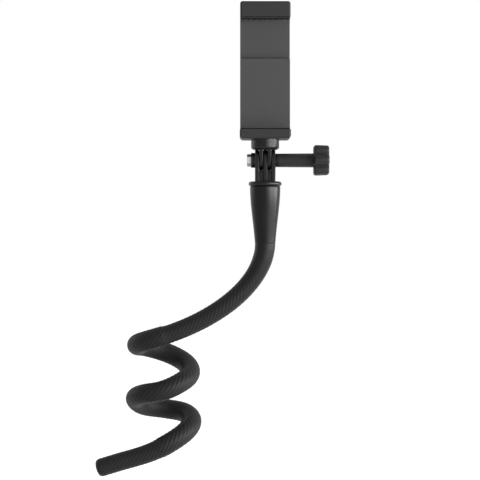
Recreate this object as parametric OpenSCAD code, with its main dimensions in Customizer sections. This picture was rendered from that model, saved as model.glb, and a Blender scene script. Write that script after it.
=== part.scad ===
// Flexible phone mount: a bendable arm wound into a coil, with a tilting spring clip on its end.
// Millimetres. Z is up, X runs along the arm's reach and -Y faces the user.
// The origin is on the coil's axis, at the height of the coil's middle front pass.

/* [Arm] */
// Sideways distance from the coil's axis to the neck
arm_reach = 76.2; // [66:0.2:90]
// Height of the tilt pivot above the coil's middle pass
pivot_h = 170.5; // [155:0.5:200]
// Diameter of the rubber skin where it runs straight
skin_d = 13.3; // [12:0.1:16]
// Extra diameter of the skin where it is bent tight
bend_swell = 1.5; // [0:0.1:2.4]
// Diameter of the aluminium core
core_d = 6; // [4:0.5:8]
// Pull of the bend below the neck
neck_pull = 28; // [20:1:40]
// Pull of the bend that runs into the coil
lead_pull = 46.5; // [35:0.5:60]

/* [Coil] */
// Bore left inside the coil
coil_bore = 25.2; // [20:0.1:40]
// Height between two front passes
coil_pitch = 40.4; // [36:0.2:50]
// How far the coil's lower turn stands off at its back
loose_turn = 2; // [0:0.1:4]

/* [Tail] */
// Sideways run of the tail's bend
tail_run = 34; // [28:1:45]
// Drop of the tail's bend
tail_drop = 11.7; // [9:0.1:16]
// Slope of the straight tip below level
tail_slope = 17; // [5:1:30]
// Length of the straight tip
tail_tip = 15; // [13:0.5:25]
// Rounding of the tip's edge
tail_edge = 3.5; // [1:0.25:3.5]

/* [Core fittings] */
// Outer diameter of the ferrule on the core's upper end
ferrule_d = 9; // [8:0.1:10]
// Length of the ferrule
ferrule_len = 17; // [14:1:18]
// Diameter of the pin through ferrule and core
core_pin_d = 2.5; // [2:0.1:3]
// Outer diameter of the cap on the core's lower end
core_cap_d = 8.4; // [7.8:0.1:9]
// Length of that cap
core_cap_len = 8; // [6:0.5:9]

/* [Head] */
// Thickness of one prong
prong_t = 3; // [2.8:0.05:3.4]
// Width of the slot between two prongs
prong_gap = 3; // [2.9:0.05:3.4]
// Radius of the prongs' round ends
prong_r = 7.6; // [7:0.1:8]
// Edge chamfer of the prongs
prong_edge = 0.5; // [0.2:0.05:0.8]
// Depth of the slots below the pivot, in front of and behind the saddle
slot_depth = 9.2; // [8.5:0.1:10.5]
// Depth of the saddle that stands in the slots under the tongues
saddle_d = 10; // [6:0.5:12]
// Height of the pivot above the bead
head_h = 15.7; // [14:0.1:18]
// Diameter of the bead
bead_d = 24.4; // [23:0.1:26]
// Height of the bead
bead_h = 3.4; // [2.6:0.1:5]
// Diameter of the spigot inside the sleeve
spigot_d = 14; // [13.9:0.1:15]
// Length of the spigot
spigot_len = 22; // [20:1:24]
// Diameter of the boss that holds the nut
nut_boss_d = 11.1; // [10.6:0.1:12.5]
// Height of that boss
nut_boss_h = 2.9; // [2:0.1:4]

/* [Grip sleeve] */
// Diameter at the bead
sleeve_top_d = 22.5; // [20:0.1:23]
// Diameter at the thin end
sleeve_end_d = 15.2; // [14.8:0.1:17]
// Length of the sleeve
sleeve_len = 42.4; // [38:0.2:44]

/* [Thumb screw] */
// Diameter of the bolt
bolt_d = 5; // [4.5:0.1:5.5]
// Radial clearance of the bolt in the prongs
bolt_fit = 0.05; // [0.02:0.01:0.1]
// Width of the nut across its flats
nut_flats = 8; // [8:0.1:8.4]
// Thickness of the nut
nut_h = 4; // [3.5:0.1:5]
// Length of the nut left proud of its boss
nut_proud = 3.1; // [2:0.1:3.4]
// Stem diameter beside the prongs
stem_d = 10; // [8.5:0.1:11]
// Stem diameter beside the knob
stem_knob_d = 10.4; // [9:0.1:12]
// Length of the stem
stem_len = 28.2; // [15:0.2:40]
// Diameter over the knob's lobes
knob_d = 24.4; // [20:0.2:28]
// Length of the knob
knob_len = 11.3; // [8:0.1:16]
// Radius of one lobe
lobe_r = 4.1; // [3:0.1:4.4]
// Number of lobes
knob_lobes = 6; // [5:1:8]

/* [Swivel adapter] */
// Diameter of the collar
collar_d = 20.8; // [18:0.1:24]
// Height of the collar
collar_h = 7.5; // [6:0.1:12]
// Bottom edge rounding of the collar
collar_edge = 1.7; // [0.5:0.1:2.5]
// Diameter of the stud
stud_d = 6.35; // [6:0.05:6.5]

/* [Clip] */
// Width of the clip
clip_w = 37; // [34:0.5:42]
// How much wider the lower jaw is
lower_jaw_extra = 0.6; // [0:0.1:1.6]
// Opening between the lips of the two jaw pads
jaw_gap = 79.4; // [72:0.2:84]
// How far the jaw lips stand in front of the arm's plane
jaw_front = 11; // [10:0.5:15]
// Thickness of the jaw lips
lip_t = 2.4; // [2:0.1:3]
// Height of the lips above the jaws' floors
lip_h = 1.8; // [1.2:0.1:3]
// Height of the lower jaw's lip
lower_jaw_h = 6.9; // [6.5:0.1:10]
// Height of the upper jaw's lip
upper_jaw_h = 11.4; // [9:0.1:14]
// Distance from the arm's plane back to the rest plate
plate_y = 3; // [2:0.1:5]
// Thickness of the rest plate
plate_t = 4.8; // [4.6:0.1:6]
// Height of the rest plate above the clip's bottom
plate_h = 61; // [56:0.5:64]
// Thickness of the slide behind the plate
slide_t = 5; // [4:0.1:7]
// Height of the block behind the plate's foot
heel_h = 8; // [7:0.5:10]
// Travel of the upper jaw towards closed
close_travel = 24; // [15:0.5:24]
// Travel of the upper jaw towards open
open_travel = 4; // [2:0.5:6]
// Corner rounding of the lower jaw
lower_corner = 2.8; // [1.5:0.1:3]
// Corner rounding of the upper jaw
upper_corner = 2; // [1:0.1:3]

/* [Jaw pads] */
// Thickness of the rubber
pad_t = 1.5; // [1.2:0.1:2]
// Height of the ribs
rib_h = 0.7; // [0.4:0.1:1]
// Number of ribs
rib_count = 9; // [5:1:11]
// Pitch of the ribs
rib_pitch = 4.1; // [3:0.1:4.4]

/* [Slide works] */
// Width of the rail's neck
rail_neck_w = 6; // [5:0.1:7]
// Width of the rail's head
rail_head_w = 10; // [9:0.1:11]
// Thickness of the rail's head
rail_head_t = 1.75; // [1.5:0.05:1.9]
// Thickness of the lips that hold the rail
rail_lip = 1.3; // [1.1:0.05:1.4]
// Length of the rail
rail_len = 24; // [20:0.5:26]
// Running clearance of the slide
slide_fit = 0.15; // [0.1:0.01:0.2]
// Sideways place of each spring
spring_x = 11.5; // [10.5:0.1:12.4]
// Outer diameter of the springs
spring_d = 3; // [2.4:0.1:3]
// Wire diameter of the springs
spring_wire = 0.6; // [0.4:0.05:0.6]
// Width of each spring channel
channel_w = 4; // [3.9:0.1:4.6]
// Diameter of the pins that hold the springs' lower loops
spring_pin_d = 1.6; // [1.2:0.1:1.6]
// Thread diameter of the slide's screws, whose tips hold the upper loops
screw_d = 2; // [1.6:0.1:2]
// Head diameter of those screws
screw_head_d = 3.8; // [3.4:0.1:4.4]
// Head height of those screws
screw_head_h = 1.3; // [1:0.1:1.6]

/* [Hidden] */
$fn = 48;
seat = 0.1;
over = 1;

// Arm route. The coil was wound by hand, so its drop isn't even: these are the heights of the
// tube's middle at each eighth of a turn, in pitches, with one more mark beyond each end.
wound_heights = [1.13, 1.00, 0.89, 0.80, 0.745, 0.63, 0.47, 0.30, 0.15, 0,
                 -0.08, -0.20, -0.37, -0.45, -0.51, -0.64, -0.82, -1.03, -1.24];
coil_turns = 2;
marks_a_turn = 8;
steps_a_mark = 3;
lead_steps = 22;
tail_steps = 8;
tube_sides = 16;
core_sides = 8;
tight_bend = 45;
coil_r = (coil_bore + skin_d + bend_swell) / 2;
arm_y = -coil_r;
bead_z = pivot_h - head_h - bead_h;
sleeve_bore = spigot_d + seat;
sleeve_end_z = bead_z - sleeve_len;
neck_z = sleeve_end_z + 0.6;
spigot_z = bead_z - spigot_len;
neck_top_z = spigot_z - 1;
ferrule_z = spigot_z + 2;
core_pin_z = ferrule_z + ferrule_len / 2;
cavity_r = core_d / 2 + 0.2;
mark_run = 2 * PI * coil_r / marks_a_turn;
coil_top = wound_heights[1] * coil_pitch;
coil_low = wound_heights[len(wound_heights) - 2] * coil_pitch;
lead_slope = atan((wound_heights[0] - wound_heights[2]) * coil_pitch / 2 / mark_run);
exit_slope = atan((wound_heights[len(wound_heights) - 3] - wound_heights[len(wound_heights) - 1])
                  * coil_pitch / 2 / mark_run);
exit_pull = 12.6;
tip_pull = 10;
tip_dir = [-cos(tail_slope), 0, -sin(tail_slope)];
tip_start = [-tail_run, arm_y, coil_low - tail_drop];

// Head and adapter, measured from the pivot
head_w = 3 * prong_t + 2 * prong_gap;
prong_pitch = prong_t + prong_gap;
tongue_t = prong_gap - 2 * 0.08;
tongue_clear = 0.4;
web_inset = 0.7;
saddle_gap = 0.3;
collar_z = prong_r + tongue_clear;
clip_z = collar_z + collar_h;

// Clip heights, measured from the pivot
lower_lip_z = clip_z + lower_jaw_h;
lower_floor_z = lower_lip_z - lip_h;
upper_lip_z = lower_lip_z + 2 * pad_t + jaw_gap;
upper_floor_z = upper_lip_z + lip_h;
clip_top_z = upper_lip_z + upper_jaw_h;
plate_top_z = clip_z + plate_h;
plate_back = plate_y + plate_t;
slide_y = plate_back + 0.2;
clip_back = slide_y + slide_t;
heel_z = clip_z + heel_h;
slide_low_z = heel_z + close_travel + 0.5;
groove_lip_y = plate_back - rail_lip;
rail_head_y = groove_lip_y - slide_fit - rail_head_t;
groove_floor_y = rail_head_y - slide_fit;
spring_y = (groove_floor_y + plate_back) / 2;
pin_rise = 4;
pin_z = heel_z + pin_rise;
screw_z = plate_top_z - open_travel - screw_d / 2 - 1.7;
channel_low_z = pin_z - 2.2;
channel_high_z = screw_z + open_travel + screw_d / 2 + 0.1;
pad_stop = 1.6;
insert_d = 9.5;
insert_h = lower_floor_z - clip_z - 0.5;
pin_fit = 0.02;

black = "#26272a";
rubber_black = "#1d1e20";
steel = "#b9bcc0";
brass = "#b5924c";

function unit(v) = v / norm(v);
function bezier(p, t) =
    (1 - t) ^ 3 * p[0] + 3 * (1 - t) ^ 2 * t * p[1] + 3 * (1 - t) * t ^ 2 * p[2] + t ^ 3 * p[3];

// Height of the tube's middle after t turns, on a smooth curve through the wound heights
function wound_at(t) =
    let (k = min(floor(t * marks_a_turn), coil_turns * marks_a_turn - 1),
         f = t * marks_a_turn - k,
         a = wound_heights[k],
         b = wound_heights[k + 1],
         c = wound_heights[k + 2],
         d = wound_heights[k + 3])
    coil_pitch * (b + 0.5 * f * (c - a + f * (2 * a - 5 * b + 4 * c - d + f * (3 * (b - c) + d - a))));

lead_bend = [[arm_reach, arm_y, neck_z],
             [arm_reach, arm_y, neck_z - neck_pull],
             [lead_pull * cos(lead_slope), arm_y, coil_top + lead_pull * sin(lead_slope)],
             [0, arm_y, coil_top]];
tail_bend = [[0, arm_y, coil_low],
             [-exit_pull * cos(exit_slope), arm_y, coil_low - exit_pull * sin(exit_slope)],
             tip_start - tip_pull * tip_dir,
             tip_start];
coil_steps = coil_turns * marks_a_turn * steps_a_mark;
neck_part = [for (z = [neck_top_z, (neck_top_z + neck_z) / 2]) [arm_reach, arm_y, z]];
lead_part = [for (i = [0:lead_steps]) bezier(lead_bend, i / lead_steps)];
coil_part = [for (i = [1:coil_steps])
             let (t = coil_turns * i / coil_steps,
                  r = coil_r + loose_turn * sin(180 * max(0, t - coil_turns + 1)) ^ 2)
             [-r * sin(360 * t), -r * cos(360 * t), wound_at(t)]];
tail_part = [for (i = [1:tail_steps]) bezier(tail_bend, i / tail_steps)];
tip_part = [for (s = [0.3, 0.6]) tip_start + s * tail_tip * tip_dir];
tip_end = [tip_start + (tail_tip - tail_edge) * tip_dir];
route = concat(neck_part, lead_part, coil_part, tail_part, tip_part, tip_end);
stations = len(route);
tip_station = stations - 1 - len(tip_part) - 1;

function heading(p, i) = unit(p[min(i + 1, len(p) - 1)] - p[max(i - 1, 0)]);
headings = [for (i = [0:stations - 1]) heading(route, i)];
function carry(n, h) = unit(n - (n * h) * h);
normals = [for (i = 0, n = [0, 1, 0]; i < stations; i = i + 1, n = carry(n, headings[min(i, stations - 1)])) n];
function bend_radius(i) =
    let (a = max(i - 1, 0),
         b = min(i + 1, stations - 1),
         turn = norm(headings[b] - headings[a]))
    norm(route[b] - route[a]) / max(turn, 0.001);
function skin_radius(i) = skin_d / 2 + bend_swell / 2 * min(1, (tight_bend / bend_radius(i)) ^ 2);

function ring(middle, i, r, sides) =
    let (h = headings[i],
         n = carry(normals[i], h),
         b = cross(h, n))
    [for (k = [0:sides - 1]) middle + r * (cos(360 * k / sides) * n + sin(360 * k / sides) * b)];

// A closed body over a chain of rings, with a flat face at each end of the chain
module ring_chain(rings) {
    sides = len(rings[0]);
    last = (len(rings) - 1) * sides;
    walls = [for (i = [0:len(rings) - 2], k = [0:sides - 1])
             let (a = i * sides + k,
                  b = i * sides + (k + 1) % sides)
             each [[a, a + sides, b + sides], [a, b + sides, b]]];
    ends = [[for (k = [0:sides - 1]) k], [for (k = [sides - 1:-1:0]) last + k]];
    polyhedron(points = [for (r = rings) each r], faces = concat(walls, ends), convexity = 10);
}

module at_neck() {
    translate([arm_reach, arm_y, 0]) children();
}

module at_pivot() {
    translate([arm_reach, arm_y, pivot_h]) children();
}

module along_x(from, r, len) {
    translate([from, 0, 0]) rotate([0, 90, 0]) cylinder(r = r, h = len);
}

module along_y(x, z, from, r, len) {
    translate([x, from, z]) rotate([-90, 0, 0]) cylinder(r = r, h = len);
}

// Rectangle with its lower and upper corners rounded by their own radii
module rounded_plate_2d(w, h, low_r, high_r) {
    union() {
        translate([-w / 2 + low_r, 0]) square([w - 2 * low_r, low_r + 0.01]);
        translate([-w / 2, low_r]) square([w, h - low_r - high_r]);
        translate([-w / 2 + high_r, h - high_r - 0.01]) square([w - 2 * high_r, high_r + 0.01]);
        for (s = [-1, 1]) {
            translate([s * (w / 2 - low_r), low_r]) circle(r = low_r);
            translate([s * (w / 2 - high_r), h - high_r]) circle(r = high_r);
        }
    }
}

// Outline across the width, extruded from front to back
module across(y_from, y_to, z_from) {
    translate([0, y_to, z_from]) rotate([90, 0, 0]) linear_extrude(y_to - y_from) children();
}

// Side view of depth and height, extruded over a width
module side_view(w) {
    rotate([90, 0, 90]) translate([0, 0, -w / 2]) linear_extrude(w) children();
}

// Soft skin of the arm: closed and rounded at the tail, open at the neck, hollow for the core
module neck_skin() {
    tip_r = skin_radius(stations - 1);
    inner = concat(
        [ring(route[tip_station] + (core_cap_len + 0.6) * tip_dir, stations - 1, core_cap_d / 2 + 0.2, tube_sides)],
        [ring(route[tip_station], tip_station, core_cap_d / 2 + 0.2, tube_sides)],
        [for (i = [tip_station:-1:0]) ring(route[i], i, cavity_r, tube_sides)]);
    outer = concat(
        [for (i = [0:stations - 1]) ring(route[i], i, skin_radius(i), tube_sides)],
        [for (a = [30:30:90])
         ring(route[stations - 1] + tail_edge * sin(a) * tip_dir, stations - 1,
              tip_r - tail_edge * (1 - cos(a)), tube_sides)]);
    color(rubber_black) ring_chain(concat(inner, outer));
}

// Soft aluminium core that holds the arm's shape, drilled for its pin
module neck_core() {
    core_top = ferrule_z + ferrule_len - 1;
    run = concat([[arm_reach, arm_y, core_top]], [for (i = [0:tip_station]) route[i]],
                 [route[tip_station] + (core_cap_len - 2.5) * tip_dir]);
    color(steel) difference() {
        ring_chain([for (i = [0:len(run) - 1])
                    ring(run[i], max(0, min(i - 1, tip_station)), core_d / 2, core_sides)]);
        at_neck() translate([0, 0, core_pin_z]) along_x(-core_d, core_pin_d / 2 + 0.02, 2 * core_d);
    }
}

// Crimped steel ferrule on the core's upper end
module core_ferrule() {
    color(steel) at_neck() difference() {
        translate([0, 0, ferrule_z]) cylinder(d = ferrule_d, h = ferrule_len);
        translate([0, 0, ferrule_z - over]) cylinder(d = core_d + 2 * seat, h = ferrule_len + 2 * over);
        translate([0, 0, core_pin_z]) along_x(-ferrule_d, core_pin_d / 2 + 0.02, 2 * ferrule_d);
    }
}

// Pin through spigot, ferrule and core
module core_pin() {
    color(steel) at_neck() translate([0, 0, core_pin_z])
        along_x(-spigot_d / 2 + 0.3, core_pin_d / 2, spigot_d - 0.6);
}

// Cap that keeps the core's lower end from piercing the skin
module core_end_cap() {
    color(black) translate(route[tip_station] + 0.4 * tip_dir) rotate([0, -90 - tail_slope, 0])
        difference() {
            cylinder(d = core_cap_d, h = core_cap_len);
            translate([0, 0, -over]) cylinder(d = core_d + 2 * seat, h = core_cap_len - 2 + over);
        }
}

// Tapered rubber grip over the spigot and the skin's upper end
module grip_sleeve() {
    rise = 14;
    function sleeve_r(t) =
        sleeve_top_d / 2 - (sleeve_top_d - sleeve_end_d) / 2 * (t ^ 1.6 + (1 - cos(180 * t)) / 2) / 2;
    edge = 0.6;
    color(rubber_black) at_neck() translate([0, 0, sleeve_end_z]) rotate_extrude($fn = 64)
        polygon(concat([[sleeve_bore / 2, 0], [sleeve_bore / 2, sleeve_len],
                        [sleeve_top_d / 2 - edge, sleeve_len], [sleeve_top_d / 2, sleeve_len - edge]],
                       [for (i = [1:rise]) [sleeve_r(i / rise), (sleeve_len - edge) * (1 - i / rise)]]));
}

// Prong or tongue: a chamfered plate with a round end about the pivot and a straight foot
module prong(x, t, foot_z) {
    low = min(foot_z, 0);
    depth = 2 * prong_r;
    translate([x, 0, 0]) {
        rotate([0, 90, 0]) rotate_extrude($fn = 64)
            polygon([[0, -t / 2], [prong_r - prong_edge, -t / 2], [prong_r, -t / 2 + prong_edge],
                     [prong_r, t / 2 - prong_edge], [prong_r - prong_edge, t / 2], [0, t / 2]]);
        translate([0, 0, low]) linear_extrude(abs(foot_z))
            polygon([[-t / 2, -depth / 2 + prong_edge], [-t / 2 + prong_edge, -depth / 2],
                     [t / 2 - prong_edge, -depth / 2], [t / 2, -depth / 2 + prong_edge],
                     [t / 2, depth / 2 - prong_edge], [t / 2 - prong_edge, depth / 2],
                     [-t / 2 + prong_edge, depth / 2], [-t / 2, depth / 2 - prong_edge]]);
    }
}

// Three prongs on a round bead, with the nut's boss on one side and a spigot below
module arm_head() {
    web_w = head_w - prong_t;
    web_d = 2 * (prong_r - web_inset);
    bead_edge = bead_h / 2 - 0.2;
    color(black) difference() {
        union() {
            at_pivot() {
                for (i = [-1:1]) prong(i * prong_pitch, prong_t, -head_h - 0.1);
                translate([-web_w / 2, -web_d / 2, -head_h - 0.1])
                    cube([web_w, web_d, head_h - slot_depth + 0.1]);
                translate([-web_w / 2, -saddle_d / 2, -head_h])
                    cube([web_w, saddle_d, head_h - prong_r - saddle_gap]);
                along_x(-head_w / 2 - nut_boss_h, nut_boss_d / 2, nut_boss_h + 0.5);
            }
            at_neck() translate([0, 0, bead_z]) {
                rotate_extrude($fn = 64) union() {
                    square([bead_d / 2 - bead_edge, bead_h]);
                    translate([0, bead_edge]) square([bead_d / 2, bead_h - 2 * bead_edge]);
                    translate([bead_d / 2 - bead_edge, bead_edge]) circle(r = bead_edge);
                    translate([bead_d / 2 - bead_edge, bead_h - bead_edge]) circle(r = bead_edge);
                }
                translate([0, 0, -spigot_len]) cylinder(d = spigot_d, h = spigot_len + 0.5);
            }
        }
        at_pivot() {
            along_x(-head_w, bolt_d / 2 + bolt_fit, 2 * head_w);
            translate([-head_w / 2 - nut_boss_h - over, 0, 0]) rotate([0, 90, 0])
                cylinder(d = (nut_flats + 2 * seat) / cos(30), h = over + nut_h - nut_proud + 0.05, $fn = 6);
        }
        at_neck() {
            translate([0, 0, spigot_z - over]) cylinder(d = ferrule_d + seat, h = over + 2 + ferrule_len + 0.4);
            translate([0, 0, core_pin_z]) along_x(-spigot_d, core_pin_d / 2 + 0.02, 2 * spigot_d);
        }
    }
}

// Hex nut, pressed into its boss
module pivot_nut() {
    color(steel) at_pivot() difference() {
        translate([-head_w / 2 - nut_boss_h - nut_proud, 0, 0]) rotate([0, 90, 0])
            intersection() {
                cylinder(d = nut_flats / cos(30), h = nut_h, $fn = 6);
                rotate_extrude() polygon([[0, 0], [nut_flats / 2 - 0.1, 0], [nut_flats / 2 + 0.8, 0.55],
                                          [nut_flats / 2 + 0.8, nut_h], [0, nut_h]]);
            }
        along_x(-2 * head_w, bolt_d / 2 + bolt_fit, 4 * head_w);
    }
}

bolt_from = -head_w / 2 - nut_boss_h - nut_proud + 0.3;
stem_from = head_w / 2 + seat;
bolt_len = stem_from - bolt_from + stem_len * 0.6;

// Steel bolt, moulded into the stem of its knob
module pivot_bolt() {
    tip = 0.5;
    color(steel) at_pivot() translate([bolt_from, 0, 0]) rotate([0, 90, 0]) {
        cylinder(d1 = bolt_d - 2 * tip, d2 = bolt_d, h = tip);
        translate([0, 0, tip]) cylinder(d = bolt_d, h = bolt_len - tip);
    }
}

// Lobed knob with its long stem
module thumb_knob() {
    edge = 1.7;
    draft = 0.3;
    valley = 0.7;
    color(black) at_pivot() translate([stem_from, 0, 0]) rotate([0, 90, 0]) difference() {
        union() {
            cylinder(d1 = stem_d, d2 = stem_knob_d, h = stem_len + 0.5);
            translate([0, 0, stem_len]) intersection() {
                linear_extrude(knob_len) union() {
                    circle(r = knob_d / 2 - lobe_r - valley);
                    for (i = [0:knob_lobes - 1])
                        rotate(360 * (i + 0.5) / knob_lobes) translate([knob_d / 2 - lobe_r, 0])
                            circle(r = lobe_r, $fn = 32);
                }
                rotate_extrude($fn = 64) union() {
                    square([knob_d / 2 - edge, knob_len]);
                    polygon([[0, edge], [knob_d / 2, edge], [knob_d / 2 - draft, knob_len - edge],
                             [0, knob_len - edge]]);
                    translate([knob_d / 2 - edge, edge]) circle(r = edge);
                    translate([knob_d / 2 - draft - edge, knob_len - edge]) circle(r = edge);
                }
            }
        }
        translate([0, 0, -over]) cylinder(d = bolt_d + 0.04, h = over + stem_len * 0.6 + seat);
        translate([0, 0, stem_len + knob_len - 0.8]) cylinder(d = knob_d * 0.55, h = 0.8 + over);
    }
}

// Collar with two tongues that fit between the prongs
module swivel_adapter() {
    color(black) at_pivot() difference() {
        union() {
            translate([0, 0, collar_z]) rotate_extrude($fn = 64) union() {
                square([collar_d / 2 - collar_edge, collar_h - seat]);
                translate([0, collar_edge]) square([collar_d / 2, collar_h - seat - collar_edge]);
                translate([collar_d / 2 - collar_edge, collar_edge]) circle(r = collar_edge);
            }
            for (s = [-1, 1]) prong(s * prong_pitch / 2, tongue_t, collar_z + 0.2);
        }
        along_x(-head_w, bolt_d / 2 + bolt_fit, 2 * head_w);
        translate([0, 0, collar_z + 1.2]) cylinder(d = stud_d + 0.04, h = collar_h);
    }
}

// Quarter-inch stud fixed in the collar
module tripod_stud() {
    color(steel) at_pivot() translate([0, 0, collar_z + 1.3])
        cylinder(d = stud_d, h = collar_h - 1.3 + insert_h - 0.3);
}

// Brass insert in the clip's bottom
module tripod_insert() {
    groove = 0.4;
    color(brass) at_pivot() translate([0, 0, clip_z]) difference() {
        rotate_extrude() polygon([[0, 0], [insert_d / 2, 0], [insert_d / 2, insert_h / 2 - groove],
                                  [insert_d / 2 - groove, insert_h / 2], [insert_d / 2, insert_h / 2 + groove],
                                  [insert_d / 2, insert_h], [0, insert_h]]);
        translate([0, 0, -over]) cylinder(d = stud_d + 0.1, h = insert_h + 2 * over);
    }
}

// Lower jaw and rest plate, with a groove for the slide's rail and a channel for each spring
module clip_base() {
    corner = 1.5;
    toe = 1;
    jaw_w = clip_w + lower_jaw_extra;
    stop_top_z = lower_floor_z + pad_t + rib_h;
    color(black) at_pivot() difference() {
        intersection() {
            side_view(jaw_w) polygon([
                [-jaw_front + toe, clip_z], [clip_back - toe, clip_z], [clip_back, clip_z + toe],
                [clip_back, heel_z], [plate_back, heel_z],
                [plate_back, plate_top_z - toe], [plate_back - toe, plate_top_z],
                [plate_y + toe, plate_top_z], [plate_y, plate_top_z - toe],
                [plate_y, stop_top_z], [plate_y - pad_stop, stop_top_z],
                [plate_y - pad_stop, lower_floor_z], [-jaw_front + lip_t, lower_floor_z],
                [-jaw_front + lip_t, lower_lip_z], [-jaw_front, lower_lip_z],
                [-jaw_front, clip_z + toe]]);
            across(-jaw_front - over, clip_back + over, clip_z) union() {
                rounded_plate_2d(clip_w, plate_h, lower_corner, corner);
                rounded_plate_2d(jaw_w, lower_jaw_h, lower_corner, 0.5);
            }
            translate([0, -jaw_front, clip_z - over]) linear_extrude(plate_h + 2 * over)
                rounded_plate_2d(jaw_w, clip_back + jaw_front, corner, corner);
        }
        translate([0, 0, clip_z - over]) cylinder(d = insert_d + 2 * pin_fit, h = insert_h + over + seat);
        rail_space(slide_fit, heel_z, plate_top_z + over, plate_back + over);
        for (s = [-1, 1]) {
            translate([s * spring_x - channel_w / 2, groove_floor_y, channel_low_z])
                cube([channel_w, plate_back - groove_floor_y + over, channel_high_z - channel_low_z]);
            translate([s * spring_x, spring_y, pin_z])
                along_x(-channel_w / 2 - 1.6, spring_pin_d / 2 + pin_fit, channel_w + 3.2);
        }
    }
}

// T-shaped rail, or with a clearance the groove that it runs in
module rail_space(fit, z_from, z_to, y_to) {
    head_w = rail_head_w + 2 * fit;
    neck_w = rail_neck_w + 2 * fit;
    translate([-head_w / 2, rail_head_y - fit, z_from]) cube([head_w, rail_head_t + 2 * fit, z_to - z_from]);
    translate([-neck_w / 2, rail_head_y, z_from]) cube([neck_w, y_to - rail_head_y, z_to - z_from]);
}

// Ribbed rubber liner of a jaw, drawn with its floor at zero and its lip rising above it
module jaw_pad(back_y) {
    front = -jaw_front + 0.2;
    lip_back = -jaw_front + lip_t + seat;
    wrap_t = 1.2;
    side = clip_w / 2 - 0.4;
    color(rubber_black) union() {
        side_view(2 * side) polygon([
            [lip_back, seat / 2], [back_y, seat / 2], [back_y, pad_t], [lip_back + wrap_t, pad_t],
            [lip_back + wrap_t, lip_h + pad_t], [front, lip_h + pad_t], [front, lip_h + seat / 2],
            [lip_back, lip_h + seat / 2]]);
        for (i = [0:rib_count - 1]) {
            x = (i - (rib_count - 1) / 2) * rib_pitch;
            along_y(x, lip_h + pad_t, front, rib_h, lip_back + wrap_t - front);
            along_y(x, pad_t, lip_back + wrap_t - 0.2, rib_h * 0.8, back_y - lip_back - wrap_t + 0.2);
        }
    }
}

module lower_jaw_pad() {
    at_pivot() translate([0, 0, lower_floor_z]) jaw_pad(plate_y - pad_stop - seat);
}

module upper_jaw_pad() {
    at_pivot() translate([0, 0, upper_floor_z]) mirror([0, 0, 1]) jaw_pad(plate_y - pad_stop - seat);
}

// Steel pins across the channels that hold the springs' lower loops
module spring_pins() {
    color(steel) at_pivot() for (s = [-1, 1])
        translate([s * spring_x, spring_y, pin_z])
            along_x(-channel_w / 2 - 1.5, spring_pin_d / 2, channel_w + 3);
}

// Upper jaw and its slide, with a rail on the front and a shallow thumb recess in the back
module clip_slide() {
    corner = 1.5;
    edge = 1;
    gusset = 3;
    recess = 0.8;
    recess_side = 6;
    recess_drop = 20;
    recess_w = clip_w - 2 * recess_side;
    recess_z = upper_lip_z - recess_drop;
    color(black) at_pivot() difference() {
        union() {
            intersection() {
                side_view(clip_w) polygon([
                    [slide_y, slide_low_z + edge], [slide_y + edge, slide_low_z],
                    [clip_back - edge, slide_low_z], [clip_back, slide_low_z + edge],
                    [clip_back, clip_top_z - edge], [clip_back - edge, clip_top_z],
                    [-jaw_front + edge, clip_top_z], [-jaw_front, clip_top_z - edge],
                    [-jaw_front, upper_lip_z], [-jaw_front + lip_t, upper_lip_z],
                    [-jaw_front + lip_t, upper_floor_z], [plate_y - pad_stop, upper_floor_z],
                    [plate_y - pad_stop, upper_floor_z - pad_t], [slide_y - gusset, upper_floor_z - pad_t],
                    [slide_y, upper_floor_z - pad_t - gusset]]);
                across(-jaw_front - over, clip_back + over, slide_low_z)
                    rounded_plate_2d(clip_w, clip_top_z - slide_low_z, corner, upper_corner);
                translate([0, -jaw_front, slide_low_z - over])
                    linear_extrude(clip_top_z - slide_low_z + 2 * over)
                        rounded_plate_2d(clip_w, clip_back + jaw_front, corner, corner);
            }
            rail_space(0, slide_low_z + edge, slide_low_z + edge + rail_len, slide_y + 0.5);
        }
        for (s = [-1, 1]) {
            along_y(s * spring_x, screw_z, slide_y - over, screw_d / 2 + pin_fit, slide_t + 2 * over);
            along_y(s * spring_x, screw_z, clip_back - screw_head_h - 0.1, screw_head_d / 2 + seat,
                    screw_head_h + over);
        }
        for (i = [0:3])
            translate([-recess_w / 2, clip_back - recess, recess_z + 4 * i])
                cube([recess_w, recess + over, 2]);
    }
}

// Screws through the slide, whose tips hold the springs' upper loops and stop it when wide open
module slide_screws() {
    tip_y = groove_floor_y + 0.35;
    color(steel) at_pivot() for (s = [-1, 1]) {
        along_y(s * spring_x, screw_z, tip_y, screw_d / 2, clip_back - screw_head_h - tip_y);
        along_y(s * spring_x, screw_z, clip_back - screw_head_h - 0.05, screw_head_d / 2, screw_head_h);
    }
}

// Extension spring: a wound barrel, necked at both ends into a loop
module spring(x) {
    low_loop_r = spring_pin_d / 2 + 0.15 + spring_wire / 2;
    high_loop_r = screw_d / 2 + 0.15 + spring_wire / 2;
    neck = 2.4;
    groove = 0.2;
    low = pin_z + low_loop_r;
    high = screw_z - high_loop_r;
    r = spring_d / 2;
    turns = floor((high - low - 2 * neck) / (2 * spring_wire));
    pitch = (high - low - 2 * neck) / turns;
    outline = concat([[0, low], [spring_wire / 2, low]],
                     [for (i = [0:turns - 1])
                      each [[r - groove, low + neck + i * pitch], [r, low + neck + (i + 0.5) * pitch]]],
                     [[r - groove, high - neck], [spring_wire / 2, high], [0, high]]);
    color(steel) at_pivot() translate([x, spring_y, 0]) union() {
        rotate_extrude($fn = 24) polygon(outline);
        translate([0, 0, pin_z]) rotate([0, 90, 0])
            rotate_extrude() translate([low_loop_r, 0]) circle(d = spring_wire, $fn = 16);
        translate([0, 0, screw_z]) rotate([90, 0, 0])
            rotate_extrude() translate([high_loop_r, 0]) circle(d = spring_wire, $fn = 16);
    }
}

module spring_left() {
    spring(-spring_x);
}

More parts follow.
